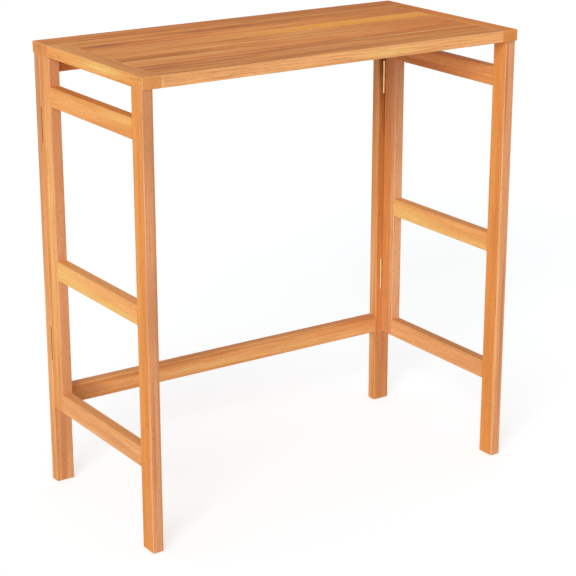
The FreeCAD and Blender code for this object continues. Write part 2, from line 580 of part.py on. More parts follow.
slats = []
for number in range(int(size("slat_count"))):
    slat = flap_board(f"slat_{number + 1}", SLAT_WIDE, "Sizes.slat_thick", "0")
    hole_z = f"({BATTEN_HOLE_DEEP} - Sizes.slat_thick) / 2"
    first_hole = (f"{FLAP_INNER_X} - Sizes.batten_spacing / 2", "0", hole_z)
    drill_row(slat, "ScrewHole", "XY_Plane", FIXING_HOLE, BATTEN_HOLE_DEEP, first_hole,
              "Sizes.batten_spacing", "2")
    slat_y = f"{FRONT_Y} + Sizes.flap_rail_width + {number + 0.5} * {SLAT_PITCH} + Sizes.slat_gap / 2"
    place(slat, FLAT_ALONG_X, f"-{FLAP_INNER_X}", slat_y, "Sizes.table_height - Sizes.slat_thick / 2")
    slats.append(slat)

battens = []
for side, sign in SIDES.items():
    batten = board(f"{side}_batten", BATTEN_LONG, "Sizes.batten_width", BATTEN_THICK,
                   "Sizes.top_round", runs_along_board)
    hole_x = f"({SLAT_PITCH} + Sizes.slat_gap) / 2"
    mouth_z = f"({BATTEN_MOUTH_DEEP} - {BATTEN_THICK}) / 2"
    drill_row(batten, "ScrewHole", "XY_Plane", FIXING_HOLE, BATTEN_THICK, (hole_x, "0", "0"),
              SLAT_PITCH, "Sizes.slat_count")
    drill_row(batten, "ScrewMouth", "XY_Plane", FIXING_MOUTH, BATTEN_MOUTH_DEEP, (hole_x, "0", mouth_z),
              SLAT_PITCH, "Sizes.slat_count")
    place(batten, FLAT_ALONG_Y, f"{sign} * Sizes.batten_spacing / 2", f"{FRONT_Y} + Sizes.flap_rail_width",
          f"{UNDERSIDE} + {BATTEN_THICK} / 2")
    battens.append(batten)

batten_screw_long = f"({BATTEN_THICK} + Sizes.batten_screw_bite)"
batten_screw = wood_screw("BattenScrew", "Sizes.fixing_head", "Sizes.fixing_shank", batten_screw_long)
doc.recompute()
underside = size("table_height") - size("top_thickness")
screws_pointing_up("batten_screws", batten_screw, [
    FreeCAD.Vector(batten.Placement.Base.x, slat.Placement.Base.y, underside)
    for batten in battens for slat in slats
])


# Flap hinges: screwed on under the joint of strip and flap, with the barrel in that joint

strip_plates = []
flap_plates = []
for side, sign in SIDES.items():
    hinge_x = f"{sign} * Sizes.flap_hinge_spacing / 2"
    axis_z = f"{UNDERSIDE} - {FLAP_AXIS_RISE}"
    strip_plate = hinge_plate(f"{side}_flap_hinge_strip_plate", 3)
    place(strip_plate, FreeCAD.Rotation(), hinge_x, FLAP_AXIS_Y, axis_z)
    strip_plates.append(strip_plate)
    flap_plate = hinge_plate(f"{side}_flap_hinge_flap_plate", 2)
    place(flap_plate, HALF_TURN_Z, hinge_x, FLAP_AXIS_Y, axis_z)
    flap_plates.append(flap_plate)
    pin = hinge_pin(f"{side}_flap_hinge_pin")
    lying = FreeCAD.Rotation(FreeCAD.Vector(0, 1, 0), 90)
    place(pin, lying, f"{hinge_x} - Sizes.hinge_length / 2", FLAP_AXIS_Y, axis_z)
screws_in_plates("strip_hinge_screws", strip_plates)
screws_in_plates("flap_hinge_screws", flap_plates)


# Every piece is checked before any is written

doc.recompute()
for item in doc.Objects:
    if "Invalid" in item.State or "Error" in item.State:
        raise RuntimeError(f"{item.Label} did not build: {item.State}")
for piece in pieces:
    if piece.Shape.isNull() or not piece.Shape.isValid():
        raise RuntimeError(f"{piece.Label} has no valid shape")

os.makedirs("parts", exist_ok=True)
for piece in pieces:
    piece.Shape.exportStep(f"parts/{piece.Label}.step")
print(f"{len(pieces)} pieces written")
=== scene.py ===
import math

import bmesh
import bpy
from mathutils import Matrix, Vector


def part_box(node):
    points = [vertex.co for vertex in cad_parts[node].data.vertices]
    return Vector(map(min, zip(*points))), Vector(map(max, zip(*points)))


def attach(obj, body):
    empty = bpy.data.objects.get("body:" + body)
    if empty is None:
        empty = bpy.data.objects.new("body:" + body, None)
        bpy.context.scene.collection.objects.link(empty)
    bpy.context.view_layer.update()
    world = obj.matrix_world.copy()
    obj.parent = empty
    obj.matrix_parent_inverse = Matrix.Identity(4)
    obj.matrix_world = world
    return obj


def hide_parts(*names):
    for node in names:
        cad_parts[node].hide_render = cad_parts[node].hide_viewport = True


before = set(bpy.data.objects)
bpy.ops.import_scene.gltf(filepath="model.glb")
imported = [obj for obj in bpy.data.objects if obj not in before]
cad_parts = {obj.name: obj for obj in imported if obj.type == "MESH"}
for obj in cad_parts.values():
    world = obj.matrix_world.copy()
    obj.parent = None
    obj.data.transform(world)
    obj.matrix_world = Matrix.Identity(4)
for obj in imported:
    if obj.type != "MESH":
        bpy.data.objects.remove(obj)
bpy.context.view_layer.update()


# Back legs: two uprights of planed acacia that stand at the rear corners and carry the gates' hinges.
# They are mortised for the back rails, sanded by machine and oiled by hand; the grain runs up each leg.

def linear(hex_colour):
    """An sRGB hex colour as linear RGBA."""
    channels = [int(hex_colour[place:place + 2], 16) / 255 for place in (1, 3, 5)]
    return (*[c / 12.92 if c <= 0.04045 else ((c + 0.055) / 1.055) ** 2.4 for c in channels], 1)


def add_node(tree, kind, sockets, **settings):
    """Adds a node with its settings; a socket takes a value or a link from another socket."""
    made = tree.nodes.new(kind)
    for setting, value in settings.items():
        setattr(made, setting, value)
    for socket, value in sockets.items():
        if isinstance(value, bpy.types.NodeSocket):
            tree.links.new(value, made.inputs[socket])
        else:
            made.inputs[socket].default_value = value
    return made


def new_material(name):
    """A material without nodes, and its node tree."""
    material = bpy.data.materials.new(name)
    material.use_nodes = True
    material.node_tree.nodes.clear()
    return material, material.node_tree


# For each direction of the grain: the turn that lays a board along X, and the frame's axes that run
# along, across and through the board
GRAIN = {
    "X": ((0, 0, 0), (0, 1, 2)),
    "Y": ((0, 0, math.pi / 2), (1, 0, 2)),
    "Z": ((0, -math.pi / 2, 0), (2, 1, 0)),
}
# Length along the grain and width across it in mm, and detail, of each layer of the wood's figure. Real fibre
# and pores are several times finer and would not show, so both are drawn coarser.
FIGURE = {
    "bands": (520, 26, 2),
    "streaks": (300, 6.5, 4),
    "fibre": (90, 2.8, 3),
    "pores": (12, 1.3, 1),
}
RING_WIDTH = 0.005
# Most of a noise texture lies between these values
NOISE_LOW, NOISE_HIGH = 0.3, 0.7
# Three tones of heartwood: between the streaks, the body of the wood, and the pale bands
ORANGE_HEART = ("#CC7E3E", "#EA984E", "#F6B266")
PORE_BROWN = "#7A4A28"
END_GRAIN = "#D89258"
# Paler edges: partly sanding wear, partly a painted highlight
SANDED_EDGE_AND_HIGHLIGHT = "#F3BE82"
# Painted shade inside the cuts for hinges and screws
PAINTED_CUT_SHADE = "#8A5628"


def oiled_acacia(node_name, grain, seed, tones=ORANGE_HEART, streaks=(), evenness=1.0):
    """Oiled acacia, planed and sanded: warm heartwood in streaks of three tones with growth rings, fine fibre
    and short open pores, a satin sheen, and edges paled by sanding through the oil and by a painted
    highlight.
    Each streak is (colour, strength, centre, half size) in mm from the board's middle, along the grain first.
    A higher evenness brings the three tones closer together."""
    material, tree = new_material(f"oiled_acacia_{node_name}")
    low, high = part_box(node_name)
    turn, own_axes = GRAIN[grain]
    half_sizes = [(high[axis] - low[axis]) / 2 for axis in own_axes]
    place = add_node(tree, "ShaderNodeTexCoord", {}).outputs["Object"]
    board = add_node(tree, "ShaderNodeMapping", {
        "Vector": place, "Location": (low + high) / 2, "Rotation": turn,
    }, vector_type="TEXTURE").outputs["Vector"]

    # Every board is cut from another place in the wood
    cut_from = [seed * metres for metres in (0.731, 0.417, 0.593)]
    wood = add_node(tree, "ShaderNodeVectorMath", {0: board, 1: cut_from}).outputs["Vector"]

    # The fibres wander up to 6 mm to either side, in bends about 200 mm long and 70 mm wide
    bends_per_metre = (5, 14, 14)
    wander_width = (0, 0.012, 0.012)
    bends = add_node(tree, "ShaderNodeMapping", {"Vector": wood, "Scale": bends_per_metre}).outputs["Vector"]
    wander = add_node(tree, "ShaderNodeTexNoise", {"Vector": bends, "Scale": 1, "Detail": 2}).outputs["Color"]
    wander = add_node(tree, "ShaderNodeVectorMath", {0: wander, 1: (0.5, 0.5, 0.5)},
                      operation="SUBTRACT").outputs["Vector"]
    fibres = add_node(tree, "ShaderNodeVectorMath", {0: wander, 1: wander_width, 2: wood},
                      operation="MULTIPLY_ADD").outputs["Vector"]
    figure = {}
    for name, (along_mm, across_mm, detail) in FIGURE.items():
        stretched = add_node(tree, "ShaderNodeMapping", {
            "Vector": fibres, "Scale": (1000 / along_mm, 1000 / across_mm, 1000 / across_mm),
        }).outputs["Vector"]
        figure[name] = add_node(tree, "ShaderNodeTexNoise", {
            "Vector": stretched, "Scale": 1, "Detail": detail, "Roughness": 0.6}).outputs["Fac"]

    # Bands and weakened streaks together vary round the middle tone
    streak_weight, middle_tone, tone_range = 0.6, 0.8, 0.3 * evenness
    tone = add_node(tree, "ShaderNodeMath", {0: figure["streaks"], 1: streak_weight, 2: figure["bands"]},
                    operation="MULTIPLY_ADD").outputs[0]
    spread = add_node(tree, "ShaderNodeMapRange", {
        "Value": tone, "From Min": middle_tone - tone_range, "From Max": middle_tone + tone_range}).outputs[0]
    heart = add_node(tree, "ShaderNodeValToRGB", {"Fac": spread})
    heart.color_ramp.elements.new(0.5)
    for element, colour in zip(heart.color_ramp.elements, tones):
        element.color = linear(colour)

    # Over the heartwood go layers, each a share of the surface and a colour. A streak is solid in its middle
    # and fades towards its half size, ragged like the streaks of the wood.
    layers = []
    solid, faded = 0.7, 1.5
    for colour, strength, centre, reach in streaks:
        within = add_node(tree, "ShaderNodeMapping", {
            "Vector": board, "Location": [mm / 1000 for mm in centre], "Scale": [mm / 1000 for mm in reach],
        }, vector_type="TEXTURE").outputs["Vector"]
        distance = add_node(tree, "ShaderNodeVectorMath", {0: within}, operation="LENGTH").outputs["Value"]
        ragged = add_node(tree, "ShaderNodeMath", {0: figure["streaks"], 1: distance}).outputs[0]
        share = add_node(tree, "ShaderNodeMapRange", {
            "Value": ragged, "From Min": solid, "From Max": faded, "To Min": strength, "To Max": 0,
        }, interpolation_type="SMOOTHSTEP").outputs[0]
        layers.append((share, colour))

    # Growth rings cross the board almost straight, because the pith is far away. At a scale of 1, one wave
    # of the texture is pi / 10 long.
    ring_shift = (0, 0.02 + 0.011 * (seed % 5), -0.06 - 0.013 * (seed % 7))
    stretch_along = (0.05, 1, 1)
    shifted = add_node(tree, "ShaderNodeMapping", {
        "Vector": fibres, "Location": ring_shift, "Scale": stretch_along}).outputs["Vector"]
    rings = add_node(tree, "ShaderNodeTexWave", {
        "Vector": shifted, "Scale": math.pi / 10 / RING_WIDTH, "Distortion": 1.5, "Detail": 2,
        "Detail Scale": 2,
    }, wave_type="RINGS", rings_direction="X", wave_profile="SAW").outputs["Fac"]
    for drawn, starts, full, strength, colour in (
        (rings, 0.3, 1.0, 0.22, tones[0]),
        (figure["fibre"], 0.46, 0.72, 0.5, tones[0]),
        (figure["pores"], 0.59, 0.78, 0.5, PORE_BROWN),
    ):
        share = add_node(tree, "ShaderNodeMapRange", {
            "Value": drawn, "From Min": starts, "From Max": full, "To Max": strength}).outputs[0]
        layers.append((share, colour))

    # Sawn ends drink the oil evenly, so they lose the streaks
    end_full, end_gone, end_strength = 0.0005, 0.002, 0.6
    outward = add_node(tree, "ShaderNodeVectorMath", {0: board}, operation="ABSOLUTE").outputs["Vector"]
    inward = add_node(tree, "ShaderNodeVectorMath", {0: half_sizes, 1: outward},
                      operation="SUBTRACT").outputs["Vector"]
    along, across, through = add_node(tree, "ShaderNodeSeparateXYZ", {0: inward}).outputs
    share = add_node(tree, "ShaderNodeMapRange", {
        "Value": along, "From Min": end_full, "From Max": end_gone, "To Min": end_strength, "To Max": 0,
    }).outputs[0]
    layers.append((share, END_GRAIN))

    # An edge is near two faces at once, so its distance is the middle one of the three
    # Edges are paled partly by sanding and partly by a painted highlight along them
    wear_and_highlight_width, wear_and_highlight_strength = 0.004, 0.5
    nearer = add_node(tree, "ShaderNodeMath", {0: along, 1: across}, operation="MINIMUM").outputs[0]
    farther = add_node(tree, "ShaderNodeMath", {0: along, 1: across}, operation="MAXIMUM").outputs[0]
    farther = add_node(tree, "ShaderNodeMath", {0: farther, 1: through}, operation="MINIMUM").outputs[0]
    to_edge = add_node(tree, "ShaderNodeMath", {0: nearer, 1: farther}, operation="MAXIMUM").outputs[0]
    worn = add_node(tree, "ShaderNodeMath", {0: figure["streaks"], 1: wear_and_highlight_width},
                    operation="MULTIPLY").outputs[0]
    share = add_node(tree, "ShaderNodeMapRange", {
        "Value": to_edge, "From Min": 0, "From Max": worn, "To Min": wear_and_highlight_strength, "To Max": 0}).outputs[0]
    layers.append((share, SANDED_EDGE_AND_HIGHLIGHT))

    # A face about a millimetre inside the board's own box is a cut for a hinge or a screw; painted shade
    # darkens it.
    cut_starts, cut_full, cut_shade_strength = 0.0007, 0.0012, 0.9
    nearest = add_node(tree, "ShaderNodeMath", {0: nearer, 1: through}, operation="MINIMUM").outputs[0]
    share = add_node(tree, "ShaderNodeMapRange", {
        "Value": nearest, "From Min": cut_starts, "From Max": cut_full, "To Max": cut_shade_strength}).outputs[0]
    layers.append((share, PAINTED_CUT_SHADE))

    colour_now = heart.outputs["Color"]
    for share, colour in layers:
        colour_now = add_node(tree, "ShaderNodeMix", {"Factor": share, "A": colour_now, "B": linear(colour)},
                              data_type="RGBA").outputs["Result"]

    # Fibre stands up a little and is duller where it does; pores are sunk. The oil has soaked in, so the
    # gloss is low.
    satin, dull = 0.5, 0.7
    pore_weight, bump_height = -0.6, 0.0004
    dulled = add_node(tree, "ShaderNodeMapRange", {
        "Value": figure["fibre"], "From Min": NOISE_LOW, "From Max": NOISE_HIGH,
        "To Min": satin, "To Max": dull,
    }).outputs[0]
    relief = add_node(tree, "ShaderNodeMath", {0: figure["pores"], 1: pore_weight, 2: figure["fibre"]},
                      operation="MULTIPLY_ADD").outputs[0]
    bumps = add_node(tree, "ShaderNodeBump", {"Height": relief, "Strength": 0.5, "Distance": bump_height})
    surface = add_node(tree, "ShaderNodeBsdfPrincipled", {
        "Base Color": colour_now, "Roughness": dulled, "Normal": bumps.outputs["Normal"], "IOR": 1.48,
        "Specular IOR Level": 0.12,
    })
    add_node(tree, "ShaderNodeOutputMaterial", {"Surface": surface.outputs["BSDF"]})
    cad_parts[node_name].material_slots[0].material = material


BACK_LEG_TONES = ("#CA844E", "#E69C5E", "#F6BC80")
ROSY_HEART = "#DA966C"
DULL_HEART = "#C2845C"
# Painted shade in the corner where the right back leg meets its gate stile: deeper orange down the leg, dark
# brown towards the top
PAINTED_SOFT_CORNER_SHADE = "#C0762E"
PAINTED_CORNER_SHADE = "#8A4A1E"
DARK_FOOT = "#B4683A"
back_leg_streaks = {
    "left": (
        (ROSY_HEART, 0.8, (0, -12, 0), (800, 6, 30)),
        (DULL_HEART, 0.6, (400, 0, 20), (230, 30, 9)),
        (DARK_FOOT, 0.4, (-400, -12, 0), (190, 30, 40)),
    ),
    "right": (
        (ROSY_HEART, 0.4, (0, -12, 0), (800, 6, 30)),
        # Painted corner shade beside the gate stile, darkest towards the top
        (PAINTED_SOFT_CORNER_SHADE, 0.8, (100, -12, 10), (480, 8, 22)),
        (PAINTED_CORNER_SHADE, 1.0, (440, -12, 9), (330, 8, 24)),
        (DARK_FOOT, 0.5, (-400, -12, 0), (190, 30, 40)),
    ),
}
for seed, (side, streaks) in enumerate(back_leg_streaks.items(), 1):
    oiled_acacia(f"{side}_back_leg", "Z", seed, BACK_LEG_TONES, streaks, evenness=0.8)


# Back rails: two rails of the same acacia, set on edge between the back legs, flush with them, and held
# by blind tenons. The lower one is the foot rail and has a pale, honey-coloured streak in its lower half.
LOW_RAIL_TONES = ("#C67E48", "#EA9E5E", "#F6BA7A")
DARK_HEART = "#9C5E38"
HONEY_HEART = "#F8C276"
oiled_acacia("back_top_rail", "X", 3)
oiled_acacia("back_low_rail", "X", 4, LOW_RAIL_TONES, evenness=0.85, streaks=(
    (DARK_HEART, 0.28, (-100, -12, 16), (700, 10, 4.5)),
    (HONEY_HEART, 0.75, (40, -12, -9), (300, 14, 8)),
    (DARK_HEART, 0.4, (-360, -12, 2), (70, 16, 18)),
))


# Gate legs: the two front uprights, one at the free end of each gate, of the same acacia.
# They are mortised for the gates' rails; dark lines of figure run down their front faces.
PINK_HEART = "#DFA078"
PALE_LINE = "#F8BC7A"
DARK_LINE = "#A8603C"
gate_leg_streaks = {
    "left": (
        (PINK_HEART, 0.8, (0, -21, 0), (2500, 8, 36)),
        (DULL_HEART, 0.6, (390, -21, 0), (150, 8, 30)),
        (DULL_HEART, 0.5, (40, -21, 0), (110, 8, 30)),
        (DARK_LINE, 0.45, (180, -21, -9), (900, 5, 5)),
        (DARK_LINE, 0.45, (-240, -21, 3), (260, 5, 4)),
    ),
    "right": (
        (PINK_HEART, 0.8, (0, -21, 0), (2500, 8, 36)),
        (PALE_LINE, 0.6, (-95, -21, 9), (540, 6, 5)),
        (DARK_LINE, 0.6, (385, -21, 8), (170, 5, 5)),
        (DARK_LINE, 0.6, (-180, -21, -4), (320, 5, 4)),
    ),
}
for side, seed in (("left", 5), ("right", 15)):
    oiled_acacia(f"{side}_gate_leg", "Z", seed, streaks=gate_leg_streaks[side], evenness=1.5)


# Gate stiles: the shorter rear uprights of the gates, of the same acacia, mortised for the rails.
# The gates' hinges are let into them; the left one was cut from paler wood than the right one.
PALE_HEART = ("#CC8448", "#EA9C5A", "#F8BC7A")
DEEP_HEART = ("#BA723E", "#DE9054", "#ECA668")
SAPWOOD = "#F6CB78"
LIGHT_ROSE = "#E6A67C"
LIGHT_PEACH = "#F4B886"
AMBER_HEART = "#EE9640"
PALE_STRIPE = "#F8BC7C"
stile_streaks = {
    "left": (),
    "right": (
        (LIGHT_ROSE, 0.6, (0, -21, 0), (2500, 8, 36)),
        (LIGHT_PEACH, 0.6, (-150, -21, -3), (420, 8, 30)),
        (AMBER_HEART, 0.65, (-100, 9, 12), (460, 20, 8)),
        (PALE_STRIPE, 0.7, (-150, -12, 12), (360, 6, 6)),
    ),
}
for side, seed, outer_face_mm, tones in (("left", 6, 12, PALE_HEART), ("right", 16, -12, DEEP_HEART)):
    oiled_acacia(f"{side}_gate_stile", "Z", seed, tones, evenness=0.8, streaks=(
        (ROSY_HEART, 0.75, (0, -21, 0), (2500, 8, 36)),
        (ROSY_HEART, 0.6, (0, 0, -outer_face_mm), (2500, 36, 8)),
        (SAPWOOD, 0.6, (-60, 0, outer_face_mm), (420, 10, 6)),
        *stile_streaks[side],
    ))


# Gate rails: three rails of the same acacia in each gate, tenoned into leg and stile and glued.
# The mid rails were cut near the bark and are yellow at the rear end and the bottom edge.
GATE_LOW_TONES = ("#CE8C58", "#ECA66A", "#F6BC80")
GATE_MID_TONES = ("#DA9454", "#F6AE6A", "#FCC482")
LEFT_TOP_TONES = ("#D28848", "#F0A25A", "#F8B870")
RIGHT_TOP_TONES = ("#C47A44", "#EA9A5A", "#F4AE6C")
GOLDEN_HEART = "#F8B670"
# Colour and strength of the upper edges; those of the right gate are darker with painted shade.
PAINTED_TOP_SHADE = ("#B4701E", 0.35)
upper_edges = {
    "left_low": ("#F4AA62", 0.6),
    "left_mid": ("#F2B06C", 0.3),
    "left_top": ("#C47C26", 0.2),
    "right_low": PAINTED_TOP_SHADE,
    "right_mid": PAINTED_TOP_SHADE,
    "right_top": PAINTED_TOP_SHADE,
}
upper_edge_streaks = {rail: (*edge, (0, 0, 21), (330, 30, 6)) for rail, edge in upper_edges.items()}
for side, seed in (("left", 7), ("right", 17)):
    oiled_acacia(f"{side}_gate_low_rail", "Y", seed, GATE_LOW_TONES, (upper_edge_streaks[f"{side}_low"],))
    oiled_acacia(f"{side}_gate_mid_rail", "Y", seed + 1, GATE_MID_TONES, evenness=1.4, streaks=(
        (SAPWOOD, 0.7, (130, 12, -8), (170, 30, 34)),
        (SAPWOOD, 0.7, (-80, 12, -20), (260, 30, 26)),
        upper_edge_streaks[f"{side}_mid"],
    ))
oiled_acacia("left_gate_top_rail", "Y", 9, LEFT_TOP_TONES, streaks=(
    (SAPWOOD, 0.6, (-100, 8, 10), (110, 26, 11)),
    (GOLDEN_HEART, 0.7, (40, 10, 0), (180, 26, 20)),
    upper_edge_streaks["left_top"],
))
oiled_acacia("right_gate_top_rail", "Y", 19, RIGHT_TOP_TONES, (upper_edge_streaks["right_top"],))


# Rear strip: the one fixed board of the top, of acacia, screwed down on the back frame from below.
# The boards of the top were not matched for colour, so each one has tones of its own.
REAR_STRIP_TONES = ("#9A5222", "#E68C3C", "#F4AE56")
# Painted fall-off of sheen: the right ends of the top's boards darker and richer
PAINTED_FALLOFF_ORANGE = "#BC6418"
oiled_acacia("rear_strip", "X", 21, REAR_STRIP_TONES, evenness=0.8, streaks=(
    (PAINTED_FALLOFF_ORANGE, 0.65, (430, 0, 8), (900, 200, 100)),
))


# End boards: two acacia boards across the ends of the flap, flush with it on top.
# They are grooved on their inner edges for the tongues of the slats and of the flap's rails.
LEFT_END_TONES = ("#C27A3E", "#EA9C52", "#F4B066")
RIGHT_END_TONES = ("#BC661E", "#E2862C", "#F09E40")
GOLDEN_EDGE = "#F4AC5E"
# Painted highlight: a thin pale line along a board's top edge
PAINTED_EDGE_HIGHLIGHT = "#FFD088"
oiled_acacia("left_end_board", "Y", 22, LEFT_END_TONES, streaks=(
    (GOLDEN_EDGE, 0.9, (0, 21, 0), (260, 8, 22)),
    (SAPWOOD, 0.9, (-30, 22, 3), (140, 9, 14)),
    (PAINTED_EDGE_HIGHLIGHT, 0.8, (-60, -21, 12), (160, 5, 8)),
))
oiled_acacia("right_end_board", "Y", 23, RIGHT_END_TONES, streaks=(
    (PAINTED_EDGE_HIGHLIGHT, 0.9, (0, 21, 12), (210, 5, 8)),
))


# Flap rails: a front and a rear rail of acacia that run with the slats, held in the end boards by tongues.
# The front one shows a rosy edge, sanded bare next to the left joint, with a patch of sapwood.
FRONT_RAIL_TONES = ("#A86430", "#E08E42", "#F4AE5A")
REAR_RAIL_TONES = ("#9E5626", "#EC9240", "#F6B058")
ROSY_EDGE = "#FBBA7E"
BARE_END = "#FFC890"
oiled_acacia("flap_front_rail", "X", 24, FRONT_RAIL_TONES, streaks=(
    (ROSY_EDGE, 0.85, (0, -26, 0), (1800, 8, 30)),
    (BARE_END, 0.4, (-406, -26, 0), (9, 8, 30)),
    (SAPWOOD, 0.7, (120, -26, 0), (110, 8, 9)),
))
# Its right end is darkened by the same painted fall-off of sheen
oiled_acacia("flap_rear_rail", "X", 25, REAR_RAIL_TONES, evenness=0.8, streaks=(
    (PAINTED_FALLOFF_ORANGE, 0.45, (430, 0, 8), (700, 200, 100)),
))


# Slats: six acacia boards side by side between the flap's rails, with tongues in the end boards.
# They lie on two battens, screwed on from below; their richer orange right ends are a painted fall-off of
# sheen.
YELLOW_HEART = "#FFAE3C"
PEACH_HEART = "#E08E50"
KNOT_BROWN = "#7E4A38"
# Painted fall-off of sheen on each slat's right end
PAINTED_SHEEN_FALLOFF = ("#DE7C0C", 0.5, (430, 0, 8), (420, 80, 40))
slat_tones = {
    1: ("#B0642C", "#DA8642", "#EEA254"),
    2: ("#BC6C30", "#E88C44", "#F4A858"),
    3: ("#BE6E2E", "#E68C40", "#F4AA56"),
    4: ("#B86C2E", "#E68E42", "#F2A856"),
    5: ("#D4802E", "#F8A440", "#FFC45A"),
    6: ("#B8682C", "#EC8C40", "#F4A652"),
}
# Slats 1 to 3 carry a painted highlight along their rear edges
slat_streaks = {
    1: ((PAINTED_EDGE_HIGHLIGHT, 1.0, (250, 26, 8), (300, 14, 16)),),
    2: ((PAINTED_EDGE_HIGHLIGHT, 1.0, (-270, 26, 8), (300, 14, 16)),),
    3: ((PAINTED_EDGE_HIGHLIGHT, 1.0, (-30, 26, 8), (400, 14, 16)),),
    4: ((DARK_HEART, 0.6, (250, 23, 8), (240, 9, 12)),),
    5: (
        (YELLOW_HEART, 0.75, (230, 0, 8), (420, 80, 40)),
        (PEACH_HEART, 0.8, (-300, 0, 8), (420, 60, 40)),
    ),
    6: (
        (KNOT_BROWN, 0.8, (-355, 4, 8), (85, 12, 9)),
        (PAINTED_FALLOFF_ORANGE, 0.5, (430, 0, 8), (330, 60, 30)),
    ),
}
for number, tones in slat_tones.items():
    oiled_acacia(f"slat_{number}", "X", 25 + number, tones, (PAINTED_SHEEN_FALLOFF, *slat_streaks[number]), evenness=0.65)


# Battens: two acacia strips across the underside of the slats, which keep the flap flat.
# They are planed and oiled like the frame and are drilled for one screw into each slat.
for side, seed in (("left", 33), ("right", 34)):
    oiled_acacia(f"{side}_batten", "Y", seed)


# Hinges: 75 mm butt hinges of folded brass plate round a pin. Those of the gates are let into the legs and
# stiles, those of the flap are screwed on from below. Plates and pins are tumbled, so all share a pale satin.
def satin_brass(made, bright, dull):
    """Brass, made by rolling or turning: a soft warm shine with faint tool lines and duller patches."""
    material, tree = new_material(f"satin_brass_{made}")
    # Tool lines are half a millimetre apart, coarser than real ones so that they show; patches are 8 mm wide
    lines_per_metre, patches_per_metre, line_height = (2000, 2000, 60), 120, 0.0001
    tarnish_starts, tarnish_full, tarnish_strength = 0.45, 0.75, 0.6
    polished, worn = 0.28, 0.42
    place = add_node(tree, "ShaderNodeTexCoord", {}).outputs["Object"]
    lines = add_node(tree, "ShaderNodeMapping", {"Vector": place, "Scale": lines_per_metre}).outputs["Vector"]
    tooled = add_node(tree, "ShaderNodeTexNoise", {"Vector": lines, "Scale": 1, "Detail": 1}).outputs["Fac"]
    patches = add_node(tree, "ShaderNodeTexNoise", {
        "Vector": place, "Scale": patches_per_metre, "Detail": 3}).outputs["Fac"]
    tarnish = add_node(tree, "ShaderNodeMapRange", {
        "Value": patches, "From Min": tarnish_starts, "From Max": tarnish_full, "To Max": tarnish_strength,
    }).outputs[0]
    colour = add_node(tree, "ShaderNodeMix", {
        "Factor": tarnish, "A": linear(bright), "B": linear(dull)}, data_type="RGBA").outputs["Result"]
    roughness = add_node(tree, "ShaderNodeMapRange", {
        "Value": patches, "From Min": NOISE_LOW, "From Max": NOISE_HIGH, "To Min": polished, "To Max": worn,
    }).outputs[0]
    bumps = add_node(tree, "ShaderNodeBump", {"Height": tooled, "Strength": 0.2, "Distance": line_height})
    surface = add_node(tree, "ShaderNodeBsdfPrincipled", {
        "Base Color": colour, "Metallic": 1.0, "Roughness": roughness, "Normal": bumps.outputs["Normal"]})
    add_node(tree, "ShaderNodeOutputMaterial", {"Surface": surface.outputs["BSDF"]})
    return material


PLATE_BRIGHT = "#EED3A0"
PLATE_DULL = "#C49C60"
rolled_brass = satin_brass("rolled", PLATE_BRIGHT, PLATE_DULL)
for node_name, node_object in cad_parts.items():
    if node_name.endswith(("_plate", "_pin")):
        node_object.material_slots[0].material = rolled_brass


# Hinge screws: countersunk brass wood screws, three to a plate, with a cross recess in the head.
# They are turned, not tumbled, so they are yellower than the plates whose countersinks they sit in.
SAME_POINT = 1e-6
SAME_RADIUS = 1e-5


def separate_screws(node_name):
    """The points of each screw in a CAD screw group."""
    shape = bmesh.new()
    shape.from_mesh(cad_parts[node_name].data)
    bmesh.ops.remove_doubles(shape, verts=shape.verts, dist=SAME_POINT)
    seen = set()
    screws = []
    for start in shape.verts:
        if start in seen:
            continue
        screw = [start]
        seen.add(start)
        for vert in screw:
            for neighbour in (edge.other_vert(vert) for edge in vert.link_edges):
                if neighbour not in seen:
                    seen.add(neighbour)
                    screw.append(neighbour)
        screws.append([vert.co.copy() for vert in screw])
    shape.free()
    return screws


def measure_screw(points):
    """The middle of a screw's head, its direction, and the radii and depths that wood_screw takes."""
    low = Vector([min(point[axis] for point in points) for axis in range(3)])
    high = Vector([max(point[axis] for point in points) for axis in range(3)])
    long_way = max(range(3), key=lambda axis: (high - low)[axis])
    middle = (low + high) / 2
    direction = Vector((0, 0, 0))
    direction[long_way] = 1
    along = [(point - middle).dot(direction) for point in points]
    radii = [(point - middle - direction * step).length for point, step in zip(points, along)]
    head_radius = max(radii)
    if along[radii.index(head_radius)] > 0:
        direction.negate()
        along = [-step for step in along]
    head_step = min(along)
    depths = [step - head_step for step in along]
    # The shank is the widest part that is clearly thinner than the head
    shank_radius = max(radius for radius in radii if radius < 0.9 * head_radius)
    shank_depths = [depth for depth, radius in zip(depths, radii) if abs(radius - shank_radius) < SAME_RADIUS]
    sizes = (head_radius, shank_radius, min(shank_depths), max(shank_depths), max(depths))
    return middle + direction * head_step, direction, sizes


